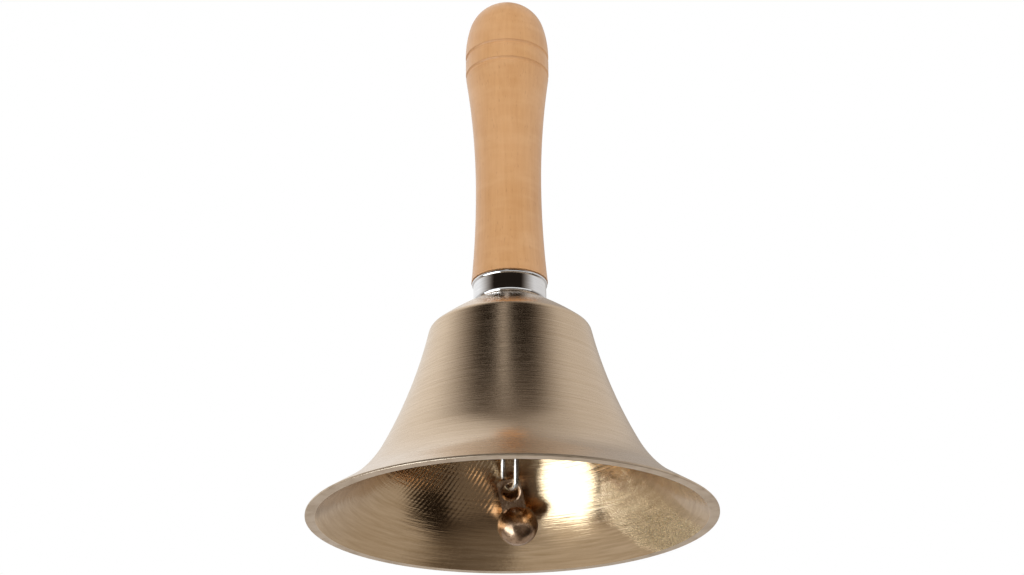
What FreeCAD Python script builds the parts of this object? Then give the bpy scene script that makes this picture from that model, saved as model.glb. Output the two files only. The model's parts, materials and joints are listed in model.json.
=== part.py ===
import FreeCAD, Part
import math
import os
import re

import Sketcher

# Hand bell, millimetres, +Z up. The bell stands on its mouth: the mouth's lip is the plane Z = 0 and the
# turned axis of bell, ferrule and handle is the Z axis. The clapper leans to the +Y side of the bell, where
# it lies when the bell is put down, and swings from there about the screw eye.

doc = FreeCAD.newDocument("hand_bell")
sheet = doc.addObject("Spreadsheet::Sheet", "Sizes")

SIZES = [
    # bell cup
    ("mouth_radius", 42.5, "outer radius of the lip"),
    ("lip_height", 0.45, "upright face around the lip"),
    ("flare_share", 0.8706, "outer radius where the straight flare ends, as a share of the lip's"),
    ("flare_height", 4.0, "height where the straight flare ends"),
    ("waist_share", 0.6353, "outer radius where the tight sweep ends, as a share of the lip's"),
    ("waist_height", 15.0, "height where the tight sweep ends"),
    ("shoulder_share", 0.4122, "outer radius under the shoulder, as a share of the lip's"),
    ("shoulder_height", 41.0, "height where the shoulder begins"),
    ("crown_share", 0.3976, "outer radius where the crown begins, as a share of the lip's"),
    ("crown_height", 42.0, "height where the crown begins"),
    ("seat_radius", 8.0, "radius of the flat seat on the crown"),
    ("seat_height", 48.0, "height of the flat seat"),
    ("wall", 1.5, "thickness of the bell wall"),
    ("crown_wall", 1.6, "thickness of the crown under the seat"),
    ("inside_corner", 2.0, "radius inside the shoulder"),
    ("lip_edge", 0.15, "rounding of the lip's edges"),
    # ferrule
    ("ferrule_radius", 7.9, "outer radius of the ferrule's wall"),
    ("ferrule_height", 5.2, "height of the ferrule"),
    ("ferrule_sheet", 0.5, "sheet thickness of the ferrule"),
    ("ferrule_base_round", 1.0, "outer radius of the ferrule's bottom edge"),
    ("ferrule_lip", 0.28, "how far the rolled lip stands out"),
    ("ferrule_lip_height", 0.9, "height of the rolled lip"),
    # handle
    ("foot_radius", 8.3, "radius of the handle on the ferrule"),
    ("grip_radius", 7.25, "smallest radius of the grip"),
    ("grip_rise", 22.3, "height of the smallest radius above the ferrule"),
    ("band_radius", 9.4, "radius at the lower ring groove"),
    ("band_rise", 28.6, "height of the lower ring groove above the smallest radius"),
    ("band_width", 4.4, "distance between the two ring grooves"),
    ("knob_radius", 9.44, "largest radius of the handle"),
    ("knob_rise", 1.0, "height of the largest radius above the upper ring groove"),
    ("knob_side_radius", 24.9, "radius of the knob's side, seen in section"),
    ("knob_height", 13.3, "height of the handle's top above the largest radius"),
    ("groove_nose", 0.6, "radius of the grooving tool's nose"),
    ("groove_depth", 0.32, "depth of the ring grooves"),
    ("tenon_clearance", 0.05, "gap between tenon and ferrule"),
    # screw eye and washer
    ("eye_wire", 0.8, "radius of the eye's wire, and of the screw's core"),
    ("eye_room", 0.15, "what the eye's radius has beyond one thickness of each wire"),
    ("eye_gap", 0.4, "gap where the eye's wire closes"),
    ("thread_radius", 1.3, "outer radius of the wood thread"),
    ("thread_pitch", 1.3, "pitch of the wood thread"),
    ("thread_length", 14.3, "length of the wood thread"),
    ("thread_crest", 0.2, "width of the thread's crest"),
    ("thread_root", 0.8, "width of the thread's root"),
    ("thread_sink", 0.08, "how far the thread's section reaches into the core"),
    ("point_length", 1.6, "length of the screw's point"),
    ("thread_clearance", 0.15, "gap around the thread in the drilled holes"),
    ("washer_radius", 5.5, "outer radius of the washer"),
    ("washer_thickness", 0.8, "thickness of the washer"),
    ("washer_edge", 0.15, "chamfer of the washer's edges"),
    # link and clapper
    ("link_wire", 0.625, "radius of the link's wire"),
    ("link_width", 5.0, "distance between the centre lines of the link's legs"),
    ("link_share", 0.8763, "length of the link's centre line as a share of the swing centre's height"),
    ("link_gap", 0.25, "gap where the link's wire closes"),
    ("link_gap_drop", 9.0, "how far that gap is below the link's upper end"),
    ("hang_clearance", 0.3, "gap where one piece hangs in another"),
    ("ball_radius", 4.5, "radius of the clapper's ball"),
    ("hole_radius", 1.75, "radius of the hole in the clapper's eye"),
    ("tab_width", 5.2, "width of the clapper's eye"),
    ("tab_thickness", 1.35, "thickness of the clapper's eye"),
    ("tab_top", 1.2, "metal above the hole"),
    ("tab_corner", 1.2, "corner radius of the clapper's eye"),
    ("hole_round", 0.65, "rounding of the hole's edges"),
    ("ball_to_hole", 8.0, "distance from the ball's centre to the hole's centre"),
    ("rest_reach", 29.35, "how far out the resting ball reaches"),
    ("link_side_lean", 1.0, "lean of the link towards -X, degrees"),
    ("link_turn", 56.0, "turn of the link about its length, degrees"),
    ("clapper_roll", 11.7, "sideways swing of the clapper on the link, degrees"),
]

for row, (name, value, meaning) in enumerate(SIZES, start=1):
    sheet.set(f"A{row}", name)
    sheet.set(f"B{row}", str(value))
    sheet.setAlias(f"B{row}", name)
    sheet.set(f"C{row}", meaning)
doc.recompute()

NEAR = 1e-3

NAMES = re.compile(r"\b(" + "|".join(name for name, value, meaning in SIZES) + r")\b")

# Lengths that several pieces share, each written once in terms of the sizes above.
FLARE_RADIUS = "(mouth_radius * flare_share)"
WAIST_RADIUS = "(mouth_radius * waist_share)"
SHOULDER_RADIUS = "(mouth_radius * shoulder_share)"
CROWN_RADIUS = "(mouth_radius * crown_share)"
FERRULE_TOP = "(seat_height + ferrule_height)"
FERRULE_FLOOR = "(seat_height + ferrule_sheet)"
TENON_RADIUS = "(ferrule_radius - ferrule_sheet - tenon_clearance)"
GRIP_HEIGHT = f"({FERRULE_TOP} + grip_rise)"
LOWER_GROOVE = f"({GRIP_HEIGHT} + band_rise)"
UPPER_GROOVE = f"({LOWER_GROOVE} + band_width)"
KNOB_HEIGHT = f"({UPPER_GROOVE} + knob_rise)"
HANDLE_TOP = f"({KNOB_HEIGHT} + knob_height)"
INNER_SEAT = "(seat_height - crown_wall)"
WASHER_BOTTOM = f"({INNER_SEAT} - washer_thickness)"
EYE_RADIUS = "(2 * eye_wire + 2 * link_wire + eye_room)"
EYE_CENTRE = f"({WASHER_BOTTOM} - {EYE_RADIUS} - eye_wire)"
SWING_HEIGHT = f"({EYE_CENTRE} - {EYE_RADIUS})"
THREAD_START = f"({FERRULE_FLOOR} + thread_pitch)"
SCREW_TOP = f"({THREAD_START} + thread_length + point_length)"
LINK_HANG = "(eye_wire + link_wire + hang_clearance)"
LINK_LENGTH = f"({SWING_HEIGHT} * link_share)"
LINK_DROP = f"({LINK_LENGTH} - {LINK_HANG})"
CLAPPER_HANG = "(hole_radius - link_wire - hang_clearance)"
LINK_LEAN = f"asin((rest_reach - ball_radius) / ({LINK_DROP} + {CLAPPER_HANG} + ball_to_hole))"
HANGING = (f"placement(vector(0; 0; {SWING_HEIGHT}); rotation(vector(1; 0; 0); {LINK_LEAN})"
           " * rotation(vector(0; 1; 0); link_side_lean))")
SEAT_INSIDE = "(washer_radius + washer_thickness)"
SCREW_HOLE = "(thread_radius + thread_clearance)"


def bound(text):
    """An expression in which every size is read from the sheet."""
    return NAMES.sub(r"Sizes.\1", text)


def value(text):
    """The number that an expression gives now."""
    return float(sheet.evalExpression(bound(text)))


def bind(thing, **expressions):
    """Binds properties of an object to expressions."""
    for name, text in expressions.items():
        thing.setExpression(name, bound(text))


def new_body(label):
    """An empty body with that name."""
    body = doc.addObject("PartDesign::Body", label)
    body.Label = label
    return body


def new_sketch(body, name, role):
    """A sketch on one of the body's own origin planes."""
    sketch = body.newObject("Sketcher::SketchObject", name)
    plane = next(item for item in body.Origin.OriginFeatures if item.Role == role)
    sketch.AttachmentSupport = [(plane, "")]
    sketch.MapMode = "FlatFace"
    return sketch


def point(across, up):
    """The place in a sketch that two expressions give now."""
    return FreeCAD.Vector(value(across), value(up), 0)


def direction(start, end):
    """The unit vector from one place to another."""
    return (end - start).normalize()


def mirrored(along, heading):
    """The heading at the other end of an arc whose chord runs along."""
    return along * (2 * heading.dot(along)) - heading


UP = FreeCAD.Vector(0, 0, 1)
START, END, CENTRE = 1, 2, 3
FREE = (None, None)
AXIS_UP, AXIS_ACROSS, ORIGIN = -2, -1, (-1, 1)


class Outline:
    """A closed outline of lines and arcs in a sketch. Each corner is held by expressions for its two
    coordinates, or left free where None is given and other constraints hold it."""

    def __init__(self, sketch):
        self.sketch = sketch
        self.edges = []

    def add(self, start, end, middle=None):
        """A line, or an arc through middle. Returns the edge's index."""
        ends = (START, END)
        if middle is None:
            shape = Part.LineSegment(start, end)
        else:
            shape = Part.Arc(start, middle, end)
            if (middle - start).cross(end - middle).z < 0:
                shape = Part.Arc(end, middle, start)
                ends = (END, START)
        index = self.sketch.addGeometry(shape, False)
        self.edges.append((index, *ends))
        return index

    def corner(self, number):
        """Where the edge of that number starts, once the sketch is solved."""
        index, first, last = self.edges[number]
        return self.sketch.getPoint(index, first)

    def arc(self, start, heading, end):
        """An arc that leaves start along heading and reaches end. Returns its index and its last heading."""
        chord = end - start
        along = direction(start, end)
        side = heading - along * heading.dot(along)
        half = math.acos(max(-1.0, min(1.0, heading.dot(along))))
        middle = start + chord * 0.5 + side.normalize() * (chord.Length / 2 * math.tan(half / 2))
        index = self.add(start, end, middle)
        return index, mirrored(along, heading)

    def hold(self, kind, *where):
        return self.sketch.addConstraint(Sketcher.Constraint(kind, *where))

    def place(self, index, end, across, up):
        """Holds one end of an edge at two expressions; zero means on the axis."""
        for kind, axis, text in (("DistanceX", AXIS_UP, across), ("DistanceY", AXIS_ACROSS, up)):
            if text == "0":
                self.hold("PointOnObject", index, end, axis)
            elif text is not None:
                self.size(kind, *ORIGIN, index, end, text)

    def size(self, kind, *where):
        """A dimension whose value is the expression given last."""
        constraint = self.hold(kind, *where[:-1], value(where[-1]))
        self.sketch.setExpression(f"Constraints[{constraint}]", bound(where[-1]))

    def join(self, corners, smooth=(), closed=False):
        """Joins each edge to the next and places the corners: corner n is the start of edge n. The edges
        whose numbers are in smooth meet the edge before them with a common tangent."""
        for number, (index, first, last) in enumerate(self.edges):
            if number > 0 or closed:
                before, before_last = self.edges[number - 1][0], self.edges[number - 1][2]
                self.hold("Tangent" if number in smooth else "Coincident", before, before_last, index, first)
            self.place(index, first, *corners[number])
        if not closed:
            self.place(index, last, *corners[-1])

    def close(self, corners, smooth=()):
        """Joins the edges all the way round."""
        self.join(corners, smooth, closed=True)


def revolve(body, name, sketch, kind="PartDesign::Revolution"):
    """A full turn about the sketch's upright axis, added to the body or cut from it."""
    feature = body.newObject(kind, name)
    feature.Profile = sketch
    feature.ReferenceAxis = (sketch, ["V_Axis"])
    feature.Angle = 360
    sketch.Visibility = False
    doc.recompute()
    return feature


def edges_at(feature, test):
    """Names of the feature's edges that pass the test."""
    numbered = enumerate(feature.Shape.Edges, start=1)
    return [f"Edge{number}" for number, edge in numbered if not edge.Degenerated and test(edge)]


def dress(body, name, kind, feature, test, **expressions):
    """A fillet or chamfer on the edges that pass the test."""
    dressing = body.newObject(kind, name)
    dressing.Base = (feature, edges_at(feature, test))
    bind(dressing, **expressions)
    doc.recompute()
    return dressing


def ring_at(*places):
    """A test for a circular edge about the Z axis that passes through one of the section's places."""
    def test(edge):
        curve = edge.Curve
        if not isinstance(curve, Part.Circle) or math.hypot(curve.Center.x, curve.Center.y) > NEAR:
            return False
        return any(math.hypot(curve.Radius - place.x, curve.Center.z - place.y) < NEAR for place in places)
    return test


def make_bell_cup():
    """The bell: a straight flare at the lip, a tight sweep, a long gentle waist, a rounded shoulder and a
    crown with a flat seat, drilled for the screw. The inside follows the outside at the wall's thickness."""
    body = new_body("bell_cup")
    outline = Outline(new_sketch(body, "bell_section", "XZ_Plane"))

    lip = point("mouth_radius", "lip_height")
    flare = point(FLARE_RADIUS, "flare_height")
    waist = point(WAIST_RADIUS, "waist_height")
    shoulder = point(SHOULDER_RADIUS, "shoulder_height")
    crown = point(CROWN_RADIUS, "crown_height")
    seat = point("seat_radius", "seat_height")
    hole_top = point(SCREW_HOLE, "seat_height")
    hole_bottom = point(SCREW_HOLE, INNER_SEAT)
    inner_seat = point(SEAT_INSIDE, INNER_SEAT)

    heading = direction(lip, flare)
    outer_line = outline.add(lip, flare)
    sweep, waist_heading = outline.arc(flare, heading, waist)
    side, shoulder_heading = outline.arc(waist, waist_heading, shoulder)
    round_shoulder, crown_heading = outline.arc(shoulder, shoulder_heading, crown)
    dome = outline.arc(crown, crown_heading, seat)[0]
    outline.add(seat, hole_top)
    outline.add(hole_top, hole_bottom)
    outline.add(hole_bottom, inner_seat)

    thickness = value("wall")

    def inward(place, along):
        """The place moved by the wall's thickness to the hollow side of an edge that runs along."""
        return place + FreeCAD.Vector(-along.y, along.x, 0) * thickness

    inner_flare = inward(flare, heading)
    inner_waist = inward(waist, waist_heading)
    inner_corner = inward(shoulder, shoulder_heading)
    mouth = inner_flare - heading * (inner_flare.y / heading.y)
    dome_centre = outline.sketch.Geometry[dome].Center
    dome_chord = (inner_corner + inner_seat) * 0.5
    dome_bend = dome_centre + direction(dome_centre, dome_chord) * (inner_corner - dome_centre).Length
    inner_dome = outline.add(inner_seat, inner_corner, dome_bend)
    inner_side = outline.arc(inner_corner, shoulder_heading * -1, inner_waist)[0]
    inner_sweep = outline.arc(inner_waist, waist_heading * -1, inner_flare)[0]
    inner_line = outline.add(inner_flare, mouth)
    lip_bottom = point("mouth_radius", "0")
    lip_face = outline.add(mouth, lip_bottom)
    outline.add(lip_bottom, lip)

    outline.close(
        [("mouth_radius", "lip_height"), (FLARE_RADIUS, "flare_height"), (WAIST_RADIUS, "waist_height"),
         (SHOULDER_RADIUS, "shoulder_height"), (CROWN_RADIUS, "crown_height"),
         ("seat_radius", "seat_height"), (SCREW_HOLE, "seat_height"), (SCREW_HOLE, INNER_SEAT),
         (SEAT_INSIDE, INNER_SEAT), FREE, FREE, FREE, (None, "0"), ("mouth_radius", "0")],
        smooth=(sweep, side, round_shoulder, dome, inner_sweep, inner_line))
    for outer, inner in ((sweep, inner_sweep), (side, inner_side), (dome, inner_dome)):
        outline.hold("Coincident", outer, CENTRE, inner, CENTRE)
    outline.hold("Parallel", outer_line, inner_line)
    outline.size("Distance", inner_line, START, outer_line, "wall")

    turned = revolve(body, "bell_turned", outline.sketch)
    inside = dress(body, "inside_corner_round", "PartDesign::Fillet", turned,
                   ring_at(outline.corner(inner_side)), Radius="inside_corner")
    lip_corners = ring_at(lip, lip_bottom, outline.corner(lip_face))
    dress(body, "lip_round", "PartDesign::Fillet", inside, lip_corners, Radius="lip_edge")
    return body


def make_ferrule():
    """A drawn cup that holds the foot of the handle: a flat base drilled for the screw, a rounded bottom
    edge, an upright wall and a rolled lip."""
    body = new_body("ferrule")
    outline = Outline(new_sketch(body, "ferrule_section", "XZ_Plane"))
    base_edge = "ferrule_radius - ferrule_base_round"
    wall_foot = "seat_height + ferrule_base_round"
    lip_foot = f"{FERRULE_TOP} - ferrule_lip_height"
    inside = "ferrule_radius - ferrule_sheet"
    corners = [(SCREW_HOLE, "seat_height"), (base_edge, "seat_height"), ("ferrule_radius", wall_foot),
               ("ferrule_radius", lip_foot), ("ferrule_radius", FERRULE_TOP), (inside, FERRULE_TOP),
               (inside, wall_foot), (base_edge, FERRULE_FLOOR), (SCREW_HOLE, FERRULE_FLOOR)]
    places = [point(*corner) for corner in corners]
    middle = point("ferrule_radius + ferrule_lip", f"{FERRULE_TOP} - ferrule_lip_height / 2")

    outline.add(places[0], places[1])
    bottom_round = outline.arc(places[1], FreeCAD.Vector(1, 0, 0), places[2])[0]
    outline.add(places[2], places[3])
    rolled_lip = outline.add(places[3], places[4], middle)
    outline.add(places[4], places[5])
    outline.add(places[5], places[6])
    inner_round = outline.arc(places[6], FreeCAD.Vector(0, -1, 0), places[7])[0]
    outline.add(places[7], places[8])
    outline.add(places[8], places[0])
    outline.close(corners, smooth=(bottom_round, inner_round))
    outline.size("Radius", rolled_lip, "ferrule_lip / 2 + ferrule_lip_height ^ 2 / (8 * ferrule_lip)")
    revolve(body, "ferrule_turned", outline.sketch)
    return body


def make_handle():
    """The turned handle: a tenon in the ferrule with a pilot hole for the screw, a waisted grip, two ring
    grooves and a rounded knob."""
    body = new_body("handle")
    outline = Outline(new_sketch(body, "handle_section", "XZ_Plane"))
    corners = [("eye_wire", FERRULE_FLOOR), (f"{TENON_RADIUS} - ferrule_base_round", FERRULE_FLOOR),
               (TENON_RADIUS, f"{FERRULE_FLOOR} + ferrule_base_round"), (TENON_RADIUS, FERRULE_TOP),
               ("foot_radius", FERRULE_TOP), ("grip_radius", GRIP_HEIGHT), ("band_radius", LOWER_GROOVE),
               ("knob_radius", KNOB_HEIGHT), FREE, ("0", HANDLE_TOP), ("0", f"{SCREW_TOP} + eye_wire"),
               ("eye_wire", SCREW_TOP)]
    places = [point(*corner) if corner is not FREE else None for corner in corners]

    # The knob's cap is centred on the axis and runs on smoothly from the knob's side.
    rise = value("knob_height")
    side = value("knob_side_radius")
    reach = value("knob_radius")
    cap = (2 * side * reach - reach ** 2 - rise ** 2) / (2 * (side - rise))
    side_centre = places[7] - FreeCAD.Vector(side, 0, 0)
    cap_centre = places[9] - FreeCAD.Vector(0, cap, 0)
    places[8] = cap_centre + direction(side_centre, cap_centre) * cap

    for number in range(4):
        outline.add(places[number], places[number + 1])
    upright = FreeCAD.Vector(0, 1, 0)
    foot_heading = mirrored(direction(places[4], places[5]), upright)
    lower_grip = outline.arc(places[4], foot_heading, places[5])[0]
    upper_grip = outline.arc(places[5], upright, places[6])[0]
    outline.add(places[6], places[7])
    knob_side = outline.arc(places[7], upright, places[8])[0]
    knob_cap = outline.arc(places[8], mirrored(direction(places[7], places[8]), upright), places[9])[0]
    for number in range(9, 12):
        outline.add(places[number], places[(number + 1) % 12])
    outline.close(corners, smooth=(upper_grip, knob_cap))
    outline.size("DistanceY", *ORIGIN, lower_grip, CENTRE, GRIP_HEIGHT)
    outline.size("DistanceY", *ORIGIN, knob_side, CENTRE, KNOB_HEIGHT)
    outline.size("Radius", knob_side, "knob_side_radius")
    outline.hold("PointOnObject", knob_cap, CENTRE, AXIS_UP)
    turned = revolve(body, "handle_turned", outline.sketch)

    grooves = new_sketch(body, "groove_sections", "XZ_Plane")
    for radius, height in (("band_radius", LOWER_GROOVE), ("knob_radius", UPPER_GROOVE)):
        nose = f"{radius} + groove_nose - groove_depth"
        circle = grooves.addGeometry(Part.Circle(point(nose, height), UP, value("groove_nose")), False)
        for kind, where, text in (("DistanceX", (*ORIGIN, circle, CENTRE), nose),
                                  ("DistanceY", (*ORIGIN, circle, CENTRE), height),
                                  ("Radius", (circle,), "groove_nose")):
            number = grooves.addConstraint(Sketcher.Constraint(kind, *where, value(text)))
            grooves.setExpression(f"Constraints[{number}]", bound(text))
    revolve(body, "ring_grooves", grooves, "PartDesign::Groove")
    return body


def make_washer():
    """The flat washer under the crown, inside the bell."""
    body = new_body("crown_washer")
    outline = Outline(new_sketch(body, "washer_section", "XZ_Plane"))
    corners = [(SCREW_HOLE, WASHER_BOTTOM), ("washer_radius", WASHER_BOTTOM), ("washer_radius", INNER_SEAT),
               (SCREW_HOLE, INNER_SEAT)]
    places = [point(*corner) for corner in corners]
    for number in range(4):
        outline.add(places[number], places[(number + 1) % 4])
    outline.close(corners)
    turned = revolve(body, "washer_turned", outline.sketch)
    dress(body, "washer_chamfer", "PartDesign::Chamfer", turned, ring_at(places[1], places[2]),
          Size="washer_edge")
    return body


def make_screw_eye():
    """The screw eye: a wire ring in the XZ plane that stops just short of its own neck, and a shank that
    goes up through washer, crown and ferrule and ends in a wood thread in the handle."""
    body = new_body("screw_eye")
    outline = Outline(new_sketch(body, "shank_section", "XZ_Plane"))
    corners = [("0", f"{EYE_CENTRE} + {EYE_RADIUS}"), ("eye_wire", f"{EYE_CENTRE} + {EYE_RADIUS}"),
               ("eye_wire", f"{SCREW_TOP} - point_length"), ("0", SCREW_TOP)]
    places = [point(*corner) for corner in corners]
    for number in range(4):
        outline.add(places[number], places[(number + 1) % 4])
    outline.close(corners)
    revolve(body, "shank", outline.sketch)

    # The ring starts at the neck, goes right round and stops short of the neck on the other side.
    neck = f"{EYE_CENTRE} + {EYE_RADIUS}"
    foot = f"{EYE_CENTRE} - {EYE_RADIUS}"
    reach = "(eye_wire * 2 + eye_gap)"
    route = Outline(new_sketch(body, "eye_route", "XZ_Plane"))
    top, bottom = point("0", neck), point("0", foot)
    end = point(f"-{reach}", f"{EYE_CENTRE} + sqrt({EYE_RADIUS} ^ 2 - {reach} ^ 2)")
    right_half = route.add(top, bottom, point(EYE_RADIUS, EYE_CENTRE))
    left_half = route.add(bottom, end, point(f"-{EYE_RADIUS}", EYE_CENTRE))
    route.join([("0", neck), ("0", foot), (f"-{reach}", None)])
    route.hold("PointOnObject", right_half, CENTRE, AXIS_UP)
    route.hold("Coincident", right_half, CENTRE, left_half, CENTRE)
    section = Outline(new_sketch(body, "eye_wire_section", "YZ_Plane"))
    circle = section.sketch.addGeometry(Part.Circle(point("0", neck), UP, value("eye_wire")), False)
    section.place(circle, CENTRE, "0", neck)
    section.size("Radius", circle, "eye_wire")
    doc.recompute()
    eye = body.newObject("PartDesign::AdditivePipe", "eye")
    eye.Profile = section.sketch
    eye.Spine = (route.sketch, ["Edge1", "Edge2"])
    doc.recompute()

    tooth = Outline(new_sketch(body, "thread_section", "XZ_Plane"))
    inside = "(eye_wire - thread_sink)"
    corners = [(inside, THREAD_START),
               ("thread_radius", f"{THREAD_START} + (thread_root - thread_crest) / 2"),
               ("thread_radius", f"{THREAD_START} + (thread_root + thread_crest) / 2"),
               (inside, f"{THREAD_START} + thread_root")]
    places = [point(*corner) for corner in corners]
    for number in range(4):
        tooth.add(places[number], places[(number + 1) % 4])
    tooth.close(corners)
    thread = body.newObject("PartDesign::AdditiveHelix", "wood_thread")
    thread.Profile = tooth.sketch
    thread.ReferenceAxis = (tooth.sketch, ["V_Axis"])
    thread.Mode = "pitch-height-angle"
    bind(thread, Pitch="thread_pitch", Height="thread_length - thread_root")
    doc.recompute()
    return body


def make_link():
    """The closed wire link between screw eye and clapper: one wire bent round, whose two ends meet in a leg.
    Its own frame has the swing centre as origin and the link hanging down from it."""
    body = new_body("clapper_link")
    route = Outline(new_sketch(body, "wire_route", "XZ_Plane"))
    half = "link_width / 2"
    high = f"{LINK_HANG} - link_width / 2"
    low = f"{LINK_HANG} - {LINK_LENGTH} + link_width / 2"
    gap_top = f"{LINK_HANG} - link_gap_drop"
    gap_bottom = f"{gap_top} - link_gap"
    corners = [(half, gap_top), (half, high), (f"-{half}", high), (f"-{half}", low), (half, low),
               (half, gap_bottom)]
    places = [point(*corner) for corner in corners]
    route.add(places[0], places[1])
    upper = route.add(places[1], places[2], point("0", LINK_HANG))
    route.add(places[2], places[3])
    lower = route.add(places[3], places[4], point("0", f"{LINK_HANG} - {LINK_LENGTH}"))
    route.add(places[4], places[5])
    route.join(corners, smooth=(upper, lower))

    section = Outline(new_sketch(body, "wire_section_of_link", "XY_Plane"))
    bind(section.sketch, **{"AttachmentOffset.Base.z": gap_top})
    circle = section.sketch.addGeometry(Part.Circle(point(half, "0"), UP, value("link_wire")), False)
    section.place(circle, CENTRE, half, "0")
    section.size("Radius", circle, "link_wire")
    doc.recompute()
    wire = body.newObject("PartDesign::AdditivePipe", "bent_wire")
    wire.Profile = section.sketch
    wire.Spine = (route.sketch, [f"Edge{number}" for number in range(1, 6)])
    doc.recompute()
    bind(body, Placement=f"{HANGING} * placement(vector(0; 0; 0); rotation(vector(0; 0; 1); -link_turn))")
    return body


def make_clapper():
    """The cast clapper: a ball with a flat eye. Its own frame has the link's wire as origin."""
    body = new_body("clapper")
    ball_centre = f"-{CLAPPER_HANG} - ball_to_hole"
    ball = Outline(new_sketch(body, "ball_section", "XZ_Plane"))
    top = f"{ball_centre} + ball_radius"
    bottom = f"{ball_centre} - ball_radius"
    ball.add(point("0", bottom), point("0", top), point("ball_radius", ball_centre))
    ball.add(point("0", top), point("0", bottom))
    ball.close([("0", bottom), ("0", top)])
    ball.hold("PointOnObject", 0, CENTRE, AXIS_UP)
    revolve(body, "ball", ball.sketch)

    tab = Outline(new_sketch(body, "tab_outline", "XZ_Plane"))
    half = "tab_width / 2"
    crest = f"-{CLAPPER_HANG} + hole_radius + tab_top"
    corners = [(f"-{half}", ball_centre), (half, ball_centre), (half, crest), (f"-{half}", crest)]
    places = [point(*corner) for corner in corners]
    for number in range(4):
        tab.add(places[number], places[(number + 1) % 4])
    tab.close(corners)
    pad = body.newObject("PartDesign::Pad", "tab")
    pad.Profile = tab.sketch
    pad.Midplane = True
    bind(pad, Length="tab_thickness")
    doc.recompute()

    def tab_corner(edge):
        upright = abs(edge.BoundBox.YLength - value("tab_thickness")) < NEAR and edge.BoundBox.XLength < NEAR
        return upright and abs(edge.BoundBox.ZMax - value(crest)) < NEAR
    corners_round = dress(body, "tab_corners", "PartDesign::Fillet", pad, tab_corner, Radius="tab_corner")

    hole = Outline(new_sketch(body, "hole_section", "XZ_Plane"))
    hole_centre = ("0", f"-{CLAPPER_HANG}")
    circle = hole.sketch.addGeometry(Part.Circle(point(*hole_centre), UP, value("hole_radius")), False)
    hole.place(circle, CENTRE, *hole_centre)
    hole.size("Radius", circle, "hole_radius")
    bore = body.newObject("PartDesign::Pocket", "eye_hole")
    bore.Profile = hole.sketch
    bore.Midplane = True
    bore.Type = "ThroughAll"
    doc.recompute()

    def hole_rim(edge):
        curve = edge.Curve
        return isinstance(curve, Part.Circle) and abs(curve.Radius - value("hole_radius")) < NEAR
    dress(body, "hole_rounding", "PartDesign::Fillet", bore, hole_rim, Radius="hole_round")
    bind(body, Placement=f"{HANGING} * placement(vector(0; 0; -{LINK_DROP});"
                         " rotation(vector(0; 1; 0); -clapper_roll))")
    return body


PIECES = [make_bell_cup(), make_ferrule(), make_handle(), make_washer(), make_screw_eye(), make_link(),
          make_clapper()]
doc.recompute()

for item in doc.Objects:
    if {"Invalid", "Error"} & set(item.State):
        raise RuntimeError(f"{item.Label} is not built: {item.State}")
for piece in PIECES:
    if piece.Shape.isNull() or not piece.Shape.isValid() or len(piece.Shape.Solids) != 1:
        raise RuntimeError(f"{piece.Label} is not one sound solid")

os.makedirs("parts", exist_ok=True)
for piece in PIECES:
    piece.Shape.exportStep(os.path.join("parts", piece.Label + ".step"))
    print(piece.Label, round(piece.Shape.Volume, 2), piece.Shape.BoundBox)
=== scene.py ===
import json
import math

import bmesh
import bpy
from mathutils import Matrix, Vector

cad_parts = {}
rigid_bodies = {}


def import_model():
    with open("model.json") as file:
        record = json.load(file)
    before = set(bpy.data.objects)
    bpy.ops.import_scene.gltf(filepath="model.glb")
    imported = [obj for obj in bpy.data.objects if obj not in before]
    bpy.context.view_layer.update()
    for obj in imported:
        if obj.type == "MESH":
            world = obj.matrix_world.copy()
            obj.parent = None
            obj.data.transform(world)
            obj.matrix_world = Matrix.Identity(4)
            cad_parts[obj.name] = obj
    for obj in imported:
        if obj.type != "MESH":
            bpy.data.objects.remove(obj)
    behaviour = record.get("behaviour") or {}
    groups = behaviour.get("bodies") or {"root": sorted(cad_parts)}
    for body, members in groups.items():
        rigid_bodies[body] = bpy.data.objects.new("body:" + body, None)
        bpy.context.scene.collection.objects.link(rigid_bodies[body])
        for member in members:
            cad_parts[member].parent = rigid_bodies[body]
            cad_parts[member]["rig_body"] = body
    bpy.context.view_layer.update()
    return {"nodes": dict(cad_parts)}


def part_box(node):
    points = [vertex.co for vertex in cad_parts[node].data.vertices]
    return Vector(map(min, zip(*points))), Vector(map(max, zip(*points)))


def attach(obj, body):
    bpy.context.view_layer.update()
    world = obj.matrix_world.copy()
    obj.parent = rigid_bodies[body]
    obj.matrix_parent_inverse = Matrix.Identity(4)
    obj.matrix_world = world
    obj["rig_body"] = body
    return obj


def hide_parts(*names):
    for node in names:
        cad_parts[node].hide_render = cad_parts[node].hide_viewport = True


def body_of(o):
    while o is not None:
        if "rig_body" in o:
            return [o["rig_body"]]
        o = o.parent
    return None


# A small brass hand bell with a turned wooden handle, seen from below its mouth in a white studio. Metres,
# +Z up. The bell is turned about the Z axis and its lip lies in the plane Z = 0.

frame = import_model()
NODES = frame["nodes"]
SCENE = bpy.context.scene
SCENE.view_settings.view_transform = "Standard"

MM = 0.001
FULL_TURN = 2.0 * math.pi

# Two places closer than this are the same, and so many decimals of a metre tell places apart.
NEAR = 1e-7
DECIMALS = 7
WELD = 0.001 * MM


# ---------------------------------------------------------------- turned pieces

# An outline that turns by more than this, in radians, has a sharp corner there.
SHARP_TURN = 0.4


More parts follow.
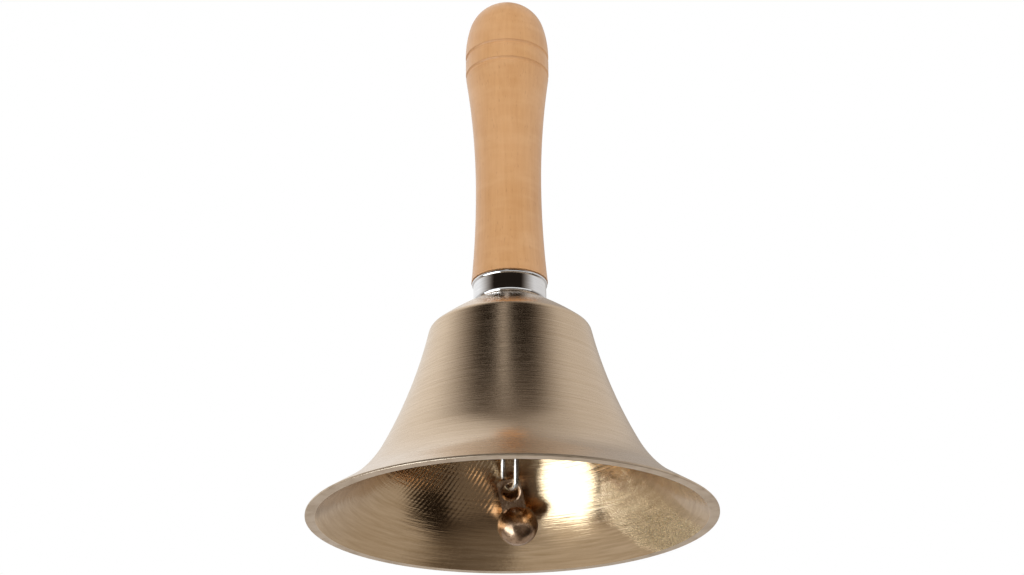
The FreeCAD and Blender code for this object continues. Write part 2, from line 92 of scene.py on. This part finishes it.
def section(node):
    """A turned node's outline, as (radius, height) points in order, from where the half plane Y = 0 cuts it,
    and whether the outline is closed."""
    mesh = NODES[node].data
    spot = {}
    for vertex in mesh.vertices:
        if abs(vertex.co.y) < NEAR and vertex.co.x > -NEAR:
            spot[vertex.index] = (round(vertex.co.x, DECIMALS), round(vertex.co.z, DECIMALS))
    links = {}
    for edge in mesh.edges:
        first, second = (spot.get(index) for index in edge.vertices)
        if first and second and first != second:
            links.setdefault(first, set()).add(second)
            links.setdefault(second, set()).add(first)
    ends = [point for point in links if len(links[point]) == 1]
    start = min(ends, key=lambda p: p[1]) if ends else max(links, key=lambda p: (p[0], -p[1]))
    path = [start]
    while True:
        ahead = sorted(point for point in links[path[-1]] if point not in path)
        if not ahead:
            return path, not ends
        path.append(ahead[-1] if len(path) == 1 else ahead[0])


def bend(before, here, after):
    """The angle that a path turns through at a point."""
    arriving = Vector(here) - Vector(before)
    leaving = Vector(after) - Vector(here)
    return arriving.angle(leaving, 0.0)


def refine(path, closed, step):
    """The path with points about a step apart, rounded between its corners and sharp at them. Gives the
    points and the numbers of those that are corners."""
    count = len(path)
    sharp = []
    for index in range(count):
        inside = closed or 0 < index < count - 1
        turn = bend(path[index - 1], path[index], path[(index + 1) % count]) if inside else math.pi
        sharp.append(turn > SHARP_TURN)
    points = []
    corners = set()
    spans = count if closed else count - 1
    for index in range(spans):
        here = Vector(path[index])
        there = Vector(path[(index + 1) % count])
        if sharp[index]:
            corners.add(len(points))
            before = 2 * here - there
        else:
            before = Vector(path[index - 1])
        if sharp[(index + 1) % count]:
            beyond = 2 * there - here
        else:
            beyond = Vector(path[(index + 2) % count])
        length = (there - here).length
        pieces = max(1, round(length / step))
        lead = (there - before) * length / ((here - before).length + length)
        trail = (beyond - here) * length / ((beyond - there).length + length)
        for piece in range(pieces):
            t = piece / pieces
            points.append(
                here * (2 * t**3 - 3 * t**2 + 1)
                + lead * (t**3 - 2 * t**2 + t)
                + there * (3 * t**2 - 2 * t**3)
                + trail * (t**3 - t**2)
            )
    if not closed:
        corners.add(len(points))
        points.append(Vector(path[-1]))
    return points, corners


def winding(points):
    """1 for an outline that runs anticlockwise and -1 for one that runs clockwise."""
    area = 0.0
    for here, there in zip(points, points[1:] + points[:1]):
        area += here.x * there.y - there.x * here.y
    return 1.0 if area > 0 else -1.0


def hoop(mesh, radius, height, segments):
    """The vertices that a point of the outline passes as it turns, or a single one on the axis."""
    if radius < NEAR:
        return [mesh.verts.new((0.0, 0.0, height))]
    ring = []
    for number in range(segments):
        angle = FULL_TURN * number / segments
        ring.append(mesh.verts.new((radius * math.cos(angle), radius * math.sin(angle), height)))
    return ring


def band(mesh, first, second, segments, material):
    """The faces between two rings, which are triangles where a ring is a single vertex."""
    for turn in range(segments):
        beyond = (turn + 1) % segments
        around = [first[turn % len(first)], first[beyond % len(first)]]
        around += [second[beyond % len(second)], second[turn % len(second)]]
        unique = list(dict.fromkeys(around))
        if len(unique) < 3:
            continue
        face = mesh.faces.new(unique)
        face.smooth = True
        face.material_index = material


def crease(mesh, ring):
    """Makes a ring's edges sharp."""
    if len(ring) == 1:
        return
    for turn in range(len(ring)):
        edge = mesh.edges.get((ring[turn], ring[(turn + 1) % len(ring)]))
        if edge:
            edge.smooth = False


def lathe(name, node, segments, step, pick=None):
    """A finely divided turned piece on a node's own outline, which replaces the node. pick gives the number
    of the material for a stretch of the outline, from the stretch's middle and its outward direction."""
    path, closed = section(node)
    low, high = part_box(node)
    points, corners = refine(path, closed, step)
    hand = winding(points)
    mesh = bmesh.new()
    rings = []
    for point in points:
        radius = min(point.x, high.x)
        height = min(max(point.y, low.z), high.z)
        rings.append(hoop(mesh, radius, height, segments))
    count = len(rings)
    for index in range(count if closed else count - 1):
        after = (index + 1) % count
        along = points[after] - points[index]
        middle = (points[index] + points[after]) / 2
        outward = Vector((along.y, -along.x)).normalized() * hand
        material = pick(middle, outward) if pick else 0
        band(mesh, rings[index], rings[after], segments, material)
    for index in corners:
        crease(mesh, rings[index])
    bmesh.ops.recalc_face_normals(mesh, faces=mesh.faces)
    return publish(name, mesh, node)


def recast(name, node, sharp_angle=0.5):
    """A piece with a node's own shape and smooth shading between its sharp edges, which replaces the node."""
    mesh = bmesh.new()
    mesh.from_mesh(NODES[node].data)
    bmesh.ops.remove_doubles(mesh, verts=mesh.verts, dist=WELD)
    for face in mesh.faces:
        face.smooth = True
        face.material_index = 0
    for edge in mesh.edges:
        edge.smooth = len(edge.link_faces) == 2 and edge.calc_face_angle(0.0) < sharp_angle
    return publish(name, mesh, node)


def publish(name, mesh, node):
    """Makes a piece of the mesh, in the place of a node and on the node's body."""
    data = bpy.data.meshes.new(name)
    mesh.to_mesh(data)
    mesh.free()
    piece = bpy.data.objects.new(name, data)
    SCENE.collection.objects.link(piece)
    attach(piece, body_of(NODES[node])[0])
    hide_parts(node)
    return piece


# ---------------------------------------------------------------- materials

class Nodes:
    """Short ways to add and join the nodes of one tree."""

    def __init__(self, tree):
        self.tree = tree

    def put(self, socket, value):
        """Links the value to the socket if it is another socket, or else sets it."""
        if isinstance(value, bpy.types.NodeSocket):
            self.tree.links.new(value, socket)
        else:
            socket.default_value = value

    def node(self, kind, inputs=None, **settings):
        node = self.tree.nodes.new("ShaderNode" + kind)
        for key, value in settings.items():
            setattr(node, key, value)
        for key, value in (inputs or {}).items():
            self.put(node.inputs[key], value)
        return node

    def math(self, operation, *values):
        return self.node("Math", dict(enumerate(values)), operation=operation).outputs[0]

    def noise(self, vector, detail=3.0, roughness=0.5):
        inputs = {"Vector": vector, "Scale": 1.0, "Detail": detail, "Roughness": roughness}
        return self.node("TexNoise", inputs).outputs["Fac"]

    def spread(self, value, low, high, to_low=0.0, to_high=1.0):
        """The value's stretch from low to high mapped to another stretch, held at its ends."""
        inputs = {"Value": value, "From Min": low, "From Max": high, "To Min": to_low, "To Max": to_high}
        return self.node("MapRange", inputs).outputs["Result"]

    def mix(self, amount, first, second):
        """The first colour where the amount is 0 and the second where it is 1."""
        node = self.node("Mix", data_type="RGBA")
        factor, first_colour, second_colour = (node.inputs[number] for number in (0, 6, 7))
        self.put(factor, amount)
        self.put(first_colour, first)
        self.put(second_colour, second)
        return node.outputs[2]

    def bump(self, height, distance, strength=1.0, onto=None):
        inputs = {"Height": height, "Distance": distance, "Strength": strength}
        if onto:
            inputs["Normal"] = onto
        return self.node("Bump", inputs).outputs["Normal"]


class Paint(Nodes):
    """A procedural material round one Principled shader, with textures in the object's own coordinates."""

    def __init__(self, name, **values):
        self.material = bpy.data.materials.new(name)
        self.material.use_nodes = True
        super().__init__(self.material.node_tree)
        self.tree.nodes.clear()
        output = self.node("OutputMaterial")
        self.shader = self.node("BsdfPrincipled")
        self.put(output.inputs["Surface"], self.shader.outputs[0])
        self.finish(**values)
        self.place = self.node("TexCoord").outputs["Object"]
        self.x, self.y, self.z = self.node("SeparateXYZ", {"Vector": self.place}).outputs

    def stretch(self, across, up):
        """Coordinates for a texture with about this many features in a metre, across the axis and up it."""
        scale = {"Vector": self.place, "Scale": (across, across, up)}
        return self.node("Mapping", scale).outputs[0]

    def finish(self, **values):
        """Sets the shader's inputs and gives the material."""
        for key, value in values.items():
            self.put(self.shader.inputs[key.replace("_", " ")], value)
        return self.material


def wave(paint, turns, per_metre, phase):
    """A sine round the axis and up it, from -1 to 1."""
    angle = paint.math("ARCTAN2", paint.y, paint.x)
    total = paint.math("MULTIPLY_ADD", paint.z, FULL_TURN * per_metre, paint.math("MULTIPLY", angle, turns))
    return paint.math("SINE", paint.math("ADD", total, phase))


def brushed_brass():
    """Champagne brass brushed round on the lathe: short fine lines, fainter where the flare was polished."""
    dark_line = (0.63, 0.485, 0.335, 1)
    pale_line = (0.75, 0.595, 0.44, 1)
    pale_band = (0.71, 0.56, 0.41, 1)
    cloud = (0.62, 0.48, 0.34, 1)
    flare_polished, body_brushed = 6.0 * MM, 24.0 * MM
    line_depth, hair_depth = 0.09 * MM, 0.03 * MM

    paint = Paint("brushed_brass", Metallic=1.0, Anisotropic=0.5)
    lines = paint.noise(paint.stretch(34.0, 4600.0))
    hairs = paint.noise(paint.stretch(260.0, 9000.0), detail=2.0)
    bands = paint.noise(paint.stretch(12.0, 900.0), roughness=0.6)
    clouds = paint.noise(paint.stretch(60.0, 60.0))
    marks = paint.math("MULTIPLY", lines, paint.spread(paint.z, flare_polished, body_brushed, 0.12, 1.0))
    tone = paint.mix(paint.spread(lines, 0.32, 0.68), dark_line, pale_line)
    tone = paint.mix(paint.spread(bands, 0.35, 0.7, 0.0, 0.3), tone, pale_band)
    tone = paint.mix(paint.spread(clouds, 0.3, 0.7, 0.0, 0.3), tone, cloud)
    rough = paint.spread(hairs, 0.3, 0.7, 0.17, 0.30)
    tangent = paint.node("Tangent", direction_type="RADIAL", axis="Z").outputs[0]
    normal = paint.bump(hairs, hair_depth, 0.25, paint.bump(marks, line_depth, 0.32))
    return paint.finish(Base_Color=tone, Roughness=rough, Normal=normal, Tangent=tangent)


def chatter_marks(paint):
    """Slanting tool marks, from -1 to 1: on the left, in patches and clear of the lip."""
    wander = paint.math("MULTIPLY", paint.noise(paint.stretch(55.0, 55.0), detail=2.0), 5.0)
    marks = wave(paint, 150, 520.0, wander)
    leftward = paint.spread(paint.x, -3.0 * MM, -8.0 * MM)
    above_lip = paint.spread(paint.z, 7.0 * MM, 11.0 * MM)
    patches = paint.spread(paint.noise(paint.stretch(70.0, 70.0), detail=1.0), 0.40, 0.62)
    place = paint.math("MULTIPLY", leftward, above_lip)
    return paint.math("MULTIPLY", paint.math("MULTIPLY", marks, patches), place)


def casting_skin(paint):
    """How much of the casting's skin is left, from 0 to 1: one ragged patch near the rim, to the right and a
    little to the back."""
    bearing = math.radians(25.0)
    ahead, aside = math.cos(bearing), math.sin(bearing)
    raggedness = 10.0 * MM
    reach_start, reach_full = 24.0 * MM, 35.0 * MM
    half_width, half_width_full = 14.0 * MM, 7.0 * MM

    along = paint.math("MULTIPLY_ADD", paint.x, ahead, paint.math("MULTIPLY", paint.y, aside))
    across = paint.math("MULTIPLY_ADD", paint.y, ahead, paint.math("MULTIPLY", paint.x, -aside))
    edge = paint.noise(paint.stretch(240.0, 240.0), detail=4.0)
    ragged = paint.math("MULTIPLY_ADD", edge, raggedness, -raggedness / 2)
    reach = paint.spread(paint.math("ADD", along, ragged), reach_start, reach_full)
    off_line = paint.math("ADD", paint.math("ABSOLUTE", across), ragged)
    return paint.math("MULTIPLY", reach, paint.spread(off_line, half_width, half_width_full))


def turned_brass():
    """The inside, left as the tool cut it: bright golden brown, with the tool's rings, patches of chatter
    marks on the left, and one patch on the right where the casting's grainy skin was never cut away."""
    dark_ring = (0.50, 0.35, 0.20, 1)
    pale_ring = (0.68, 0.51, 0.33, 1)
    cloud = (0.60, 0.42, 0.24, 1)
    skin_colour = (0.60, 0.44, 0.20, 1)
    swell_depth, ring_depth, chatter_depth = 0.8 * MM, 0.10 * MM, 0.030 * MM
    pit_depth, grit_depth = 0.02 * MM, 0.7 * MM

    paint = Paint("turned_brass", Metallic=1.0)
    rings = paint.noise(paint.stretch(90.0, 2300.0), roughness=0.6)
    pits = paint.noise(paint.stretch(1500.0, 1500.0), roughness=0.7)
    swell = paint.noise(paint.stretch(60.0, 90.0), detail=1.0)
    skin = casting_skin(paint)
    grains = paint.noise(paint.stretch(2900.0, 2900.0), detail=2.0, roughness=0.7)
    grit = paint.math("MULTIPLY", paint.math("SUBTRACT", grains, 0.5), skin)
    normal = paint.bump(swell, swell_depth, 0.4)
    normal = paint.bump(rings, ring_depth, 0.65, normal)
    normal = paint.bump(chatter_marks(paint), chatter_depth, 0.7, normal)
    normal = paint.bump(pits, pit_depth, 0.5, normal)
    normal = paint.bump(grit, grit_depth, 0.9, normal)
    tone = paint.mix(paint.spread(rings, 0.3, 0.7), dark_ring, pale_ring)
    tone = paint.mix(paint.spread(swell, 0.35, 0.7, 0.0, 0.45), tone, cloud)
    tone = paint.mix(paint.math("MULTIPLY", skin, 0.4), tone, skin_colour)
    rough = paint.math("ADD", paint.spread(pits, 0.3, 0.7, 0.13, 0.22), paint.math("MULTIPLY", skin, 0.08))
    return paint.finish(Base_Color=tone, Roughness=rough, Normal=normal)


def lip_brass():
    """The faced edge of the mouth, dulled a little by being set down."""
    dark_line = (0.60, 0.475, 0.345, 1)
    pale_line = (0.74, 0.61, 0.47, 1)
    worn = (0.50, 0.38, 0.26, 1)

    paint = Paint("lip_brass", Metallic=1.0)
    lines = paint.noise(paint.stretch(40.0, 6000.0), detail=2.0)
    wear = paint.noise(paint.stretch(240.0, 240.0), detail=4.0, roughness=0.65)
    tone = paint.mix(lines, dark_line, pale_line)
    tone = paint.mix(paint.spread(wear, 0.5, 0.7, 0.0, 0.5), tone, worn)
    rough = paint.spread(wear, 0.35, 0.65, 0.34, 0.48)
    return paint.finish(Base_Color=tone, Roughness=rough, Normal=paint.bump(wear, 0.06 * MM, 0.4))


def chrome():
    """Bright plated sheet with faint ripples from spinning, and hairline scratches."""
    scratched = (0.78, 0.78, 0.79, 1)
    bright = (0.88, 0.88, 0.88, 1)
    ripple_depth, hair_depth = 0.12 * MM, 0.004 * MM

    paint = Paint("plated_chrome", Metallic=1.0)
    ripple = paint.noise(paint.stretch(160.0, 320.0), detail=1.0)
    hairs = paint.noise(paint.stretch(200.0, 12000.0), detail=2.0)
    tone = paint.mix(paint.spread(hairs, 0.4, 0.6), scratched, bright)
    rough = paint.spread(hairs, 0.35, 0.7, 0.03, 0.10)
    normal = paint.bump(hairs, hair_depth, 0.5, paint.bump(ripple, ripple_depth, 0.5))
    return paint.finish(Base_Color=tone, Roughness=rough, Normal=normal)


def maple():
    """Pale close-grained wood under a satin lacquer: soft grain up the handle, cloudy figure across it,
    growth layers and small flecks."""
    dark_grain = (0.56, 0.28, 0.105, 1)
    pale_grain = (0.66, 0.36, 0.155, 1)
    late_wood = (0.47, 0.21, 0.07, 1)
    cloud = (0.72, 0.42, 0.215, 1)
    shimmer = (0.78, 0.49, 0.27, 1)
    fleck = (0.36, 0.16, 0.06, 1)
    fibre_depth, figure_depth = 0.04 * MM, 0.08 * MM

    paint = Paint("turned_maple", Coat_Weight=0.40, Coat_Roughness=0.24, Coat_IOR=1.5, Specular_IOR_Level=0.4)
    sway = paint.noise(paint.stretch(35.0, 9.0), detail=2.0)
    layers = paint.math("MULTIPLY_ADD", paint.x, 900.0, paint.math("MULTIPLY", sway, 16.0))
    rings = paint.spread(paint.math("SINE", layers), -1.0, 1.0)
    grain = paint.noise(paint.stretch(1500.0, 40.0), detail=4.0, roughness=0.6)
    fibres = paint.noise(paint.stretch(5200.0, 260.0), roughness=0.6)
    flecks = paint.spread(paint.noise(paint.stretch(3200.0, 620.0), detail=1.0), 0.67, 0.76)
    clouds = paint.noise(paint.stretch(90.0, 60.0), detail=4.0, roughness=0.55)
    figure = paint.noise(paint.stretch(120.0, 420.0), detail=2.0)
    tone = paint.mix(paint.spread(grain, 0.25, 0.75), dark_grain, pale_grain)
    tone = paint.mix(paint.math("MULTIPLY", rings, 0.14), tone, late_wood)
    tone = paint.mix(paint.spread(clouds, 0.35, 0.7, 0.0, 0.55), tone, cloud)
    tone = paint.mix(paint.spread(figure, 0.45, 0.75, 0.0, 0.22), tone, shimmer)
    tone = paint.mix(paint.math("MULTIPLY", flecks, 0.30), tone, fleck)
    rough = paint.spread(fibres, 0.3, 0.7, 0.36, 0.52)
    normal = paint.bump(fibres, fibre_depth, 0.35, paint.bump(figure, figure_depth, 0.25))
    return paint.finish(Base_Color=tone, Roughness=rough, Normal=normal)


def steel_wire():
    """Bright steel wire with fine drawing marks and a little tarnish."""
    bright = (0.68, 0.67, 0.65, 1)
    tarnished = (0.33, 0.29, 0.25, 1)

    paint = Paint("steel_wire", Metallic=1.0)
    grime = paint.noise(paint.stretch(500.0, 420.0), detail=4.0, roughness=0.65)
    fine = paint.noise(paint.stretch(5200.0, 1400.0), detail=2.0)
    tone = paint.mix(paint.spread(grime, 0.4, 0.68), bright, tarnished)
    rough = paint.spread(grime, 0.35, 0.7, 0.16, 0.42)
    return paint.finish(Base_Color=tone, Roughness=rough, Normal=paint.bump(fine, 0.03 * MM, 0.5))


def cast_copper():
    """The clapper's coppery brass: tumbled smooth, brown with tarnish patches, a painted highlight on sharp
    edges.
    """
    clean = (0.52, 0.36, 0.24, 1)
    tarnished = (0.30, 0.18, 0.105, 1)
    lump = (0.62, 0.44, 0.30, 1)
    # The colour of the painted highlight on the sharp edges.
    painted_edge_highlight = (0.74, 0.54, 0.36, 1)
    pit_depth, lump_depth = 0.05 * MM, 0.5 * MM

    paint = Paint("cast_clapper", Metallic=1.0)
    lumps = paint.noise(paint.stretch(300.0, 300.0), detail=2.0)
    grime = paint.noise(paint.stretch(520.0, 520.0), detail=5.0, roughness=0.7)
    pits = paint.noise(paint.stretch(2400.0, 2400.0), detail=2.0)
    edges = paint.node("NewGeometry").outputs["Pointiness"]
    tone = paint.mix(paint.spread(grime, 0.35, 0.65), clean, tarnished)
    tone = paint.mix(paint.spread(lumps, 0.5, 0.7, 0.0, 0.5), tone, lump)
    # Painted highlight: a lighter colour where the mesh's edges are sharp (high pointiness).
    tone = paint.mix(paint.spread(edges, 0.53, 0.62, 0.0, 0.8), tone, painted_edge_highlight)
    rough = paint.spread(grime, 0.3, 0.7, 0.18, 0.34)
    normal = paint.bump(pits, pit_depth, 0.5, paint.bump(lumps, lump_depth, 0.4))
    return paint.finish(Base_Color=tone, Roughness=rough, Normal=normal)


# ---------------------------------------------------------------- the pieces

MOUTH_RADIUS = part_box("bell_cup")[1].x
LIP_HEIGHT = 0.5 * MM
LIP_WIDTH = 1.9 * MM

# The numbers of the cup's three materials.
OUTSIDE, INSIDE, LIP = range(3)

# How many flat sides go round a turned piece, and how long the steps along its outline are.
CUP_SIDES, CUP_STEP = 288, 0.45 * MM
FERRULE_SIDES, FERRULE_STEP = 192, 0.12 * MM
HANDLE_SIDES, HANDLE_STEP = 192, 0.35 * MM


def cup_zone(middle, outward):
    """Which finish a stretch of the cup's outline has."""
    if middle.y < LIP_HEIGHT and middle.x > MOUTH_RADIUS - LIP_WIDTH:
        return LIP
    return OUTSIDE if outward.x > 0.0 or outward.y > 0.5 else INSIDE


cup = lathe("bell_cup_turned", "bell_cup", CUP_SIDES, CUP_STEP, pick=cup_zone)
cup.data.materials.append(brushed_brass())
cup.data.materials.append(turned_brass())
cup.data.materials.append(lip_brass())

collar = lathe("ferrule_plated", "ferrule", FERRULE_SIDES, FERRULE_STEP)
collar.data.materials.append(chrome())

grip = lathe("handle_turned", "handle", HANDLE_SIDES, HANDLE_STEP)
grip.data.materials.append(maple())

wire = steel_wire()
for name, node in (("screw_eye_wire", "screw_eye"), ("clapper_link_wire", "clapper_link"),
                   ("crown_washer_disc", "crown_washer")):
    piece = recast(name, node)
    piece.data.materials.append(wire)

weight = recast("clapper_cast", "clapper", sharp_angle=0.6)
weight.data.materials.append(cast_copper())


# ---------------------------------------------------------------- the studio

FLOOR_HEIGHT = -0.42
FLOOR_SIZE = 6.0
FLOOR_GLOW = 0.46

# The soft lights stand this far from the middle of the object, and are squares of this size.
MIDDLE = Vector((0.0, 0.0, 0.05))
LAMP_DISTANCE = 1.4
LAMP_SIZE = 0.8

# The room's darkest reflection. Its shadows are warmer than its lights: green and blue fall off faster.
DARKEST = 0.015
GREEN_FALL = 1.08
BLUE_FALL = 1.15

# The room's parts: (azimuth from, to), (elevation from, to) and how soft the edges are, all in degrees, and
# the brightness. Azimuth 0 is in front of the object and 90 on its right; None leaves a side open.
ROOM = (
    ((None, -82.0), (-8.0, 86.0), 76.0, 0.98),
    ((60.0, 170.0), (-8.0, 82.0), 58.0, 0.73),
    ((-19.0, -4.0), (40.0, 76.0), 7.0, 0.60),
    ((None, None), (72.0, None), 30.0, 0.25),
    ((150.0, None), (14.0, 60.0), 24.0, 0.48),
    ((None, -150.0), (14.0, 60.0), 24.0, 0.48),
    ((-70.0, 70.0), (-13.0, 8.0), 4.0, 0.90),
    ((-86.0, -33.0), (-60.0, -12.0), 8.0, 4.0),
    ((-112.0, -44.0), (-76.0, -52.0), 12.0, 0.85),
    ((None, -104.0), (None, -2.0), 8.0, 0.62),
    ((108.0, None), (-64.0, -2.0), 20.0, 0.54),
    ((14.0, 70.0), (-60.0, -16.0), 16.0, 0.20),
    ((-30.0, 14.0), (-80.0, -16.0), 12.0, 0.16),
    ((None, 0.0), (None, -62.0), 30.0, 0.48),
    ((0.0, None), (None, -66.0), 30.0, 0.20),
    ((None, -164.0), (-30.0, -10.0), 8.0, 0.72),
    ((164.0, None), (-30.0, -10.0), 8.0, 0.72),
)


def floor_white():
    """A matt grey that glows, so that the floor is an even white wherever the lights fall."""
    glow = {"Emission_Color": (1, 1, 1, 1), "Emission_Strength": FLOOR_GLOW}
    paint = Paint("floor_white", Roughness=0.9, Specular_IOR_Level=0.1, **glow)
    cloud = paint.noise(paint.stretch(3.0, 3.0))
    return paint.finish(Base_Color=paint.mix(cloud, (0.42, 0.42, 0.42, 1), (0.4074, 0.4074, 0.4074, 1)))


def lay_floor():
    """The pale floor, well below the object and not seen in the metal, which shows the room instead."""
    half = FLOOR_SIZE / 2
    corners = [(-half, -half, 0), (half, -half, 0), (half, half, 0), (-half, half, 0)]
    data = bpy.data.meshes.new("floor")
    data.from_pydata(corners, [], [(0, 1, 2, 3)])
    data.materials.append(floor_white())
    floor = bpy.data.objects.new("floor", data)
    floor.location = (0.0, 0.0, FLOOR_HEIGHT)
    floor.visible_glossy = False
    SCENE.collection.objects.link(floor)


def softbox(name, azimuth, elevation, power):
    """A soft light aimed at the object, which is not seen itself. Azimuth 0 is in front (-Y) and 90 on the
    right (+X)."""
    data = bpy.data.lights.new(name, "AREA")
    data.shape = "SQUARE"
    data.size = LAMP_SIZE
    data.energy = power
    lamp = bpy.data.objects.new(name, data)
    around, up = math.radians(azimuth), math.radians(elevation)
    away = Vector((math.sin(around) * math.cos(up), -math.cos(around) * math.cos(up), math.sin(up)))
    lamp.location = MIDDLE + away * LAMP_DISTANCE
    lamp.rotation_euler = (-away).to_track_quat("-Z", "Y").to_euler()
    lamp.visible_camera = False
    lamp.visible_glossy = False
    SCENE.collection.objects.link(lamp)


def ramp(sky, angle, edge, soft, sign):
    """0 outside an edge and 1 inside it, blended softly. sign is 1 at a low edge and -1 at a high one."""
    outside = math.radians(edge - soft / 2 * sign)
    inside = math.radians(edge + soft / 2 * sign)
    inputs = {"Value": angle, "From Min": outside, "From Max": inside}
    return sky.node("MapRange", inputs, interpolation_type="SMOOTHSTEP").outputs["Result"]


def surroundings():
    """The white room as polished metal shows it: light walls left and right, a dark front with one light
    strip, and a bright reflector low on the left, which shows on the right of the bell's inside. The camera
    sees plain white instead."""
    world = bpy.data.worlds.new("studio_room")
    world.use_nodes = True
    sky = Nodes(world.node_tree)
    x, y, z = sky.node("SeparateXYZ", {"Vector": sky.node("TexCoord").outputs["Generated"]}).outputs
    azimuth = sky.math("ARCTAN2", x, sky.math("MULTIPLY", y, -1.0))
    elevation = sky.math("ARCSINE", z)
    total = DARKEST
    for around, up, soft, brightness in ROOM:
        part = brightness
        for angle, (low, high) in ((azimuth, around), (elevation, up)):
            if low is not None:
                part = sky.math("MULTIPLY", part, ramp(sky, angle, low, soft, 1.0))
            if high is not None:
                part = sky.math("MULTIPLY", part, ramp(sky, angle, high, soft, -1.0))
        total = sky.math("MAXIMUM", total, part)
    warm = {0: total, 1: sky.math("POWER", total, GREEN_FALL), 2: sky.math("POWER", total, BLUE_FALL)}
    direct = sky.node("LightPath").outputs["Is Camera Ray"]
    white = (1, 1, 1, 1)
    seen = sky.mix(direct, sky.node("CombineColor", warm).outputs[0], white)
    sky.put(world.node_tree.nodes["Background"].inputs["Color"], seen)
    SCENE.world = world


lay_floor()
softbox("key_light", -35.0, 38.0, 11.0)
softbox("fill_light", 50.0, 10.0, 5.0)
surroundings()


# ---------------------------------------------------------------- the camera

# Below the mouth and in front of it, tilted up, and rolled a little because the handle leans.
LENS_LENGTH = 65.53
SENSOR_WIDTH = 36.0
CAMERA_PLACE = (0.0005, -0.3706, -0.1084)
CAMERA_TILT = 23.43
CAMERA_ROLL = -0.7

lens = bpy.data.cameras.new("camera")
lens.lens = LENS_LENGTH
lens.sensor_width = SENSOR_WIDTH
lens.clip_start = 0.01
lens.clip_end = 20.0
camera = bpy.data.objects.new("camera", lens)
camera.location = CAMERA_PLACE
camera.rotation_mode = "XYZ"
camera.rotation_euler = (math.radians(90.0 + CAMERA_TILT), 0.0, 0.0)
camera.rotation_euler.rotate_axis("Z", math.radians(CAMERA_ROLL))
SCENE.collection.objects.link(camera)
SCENE.camera = camera
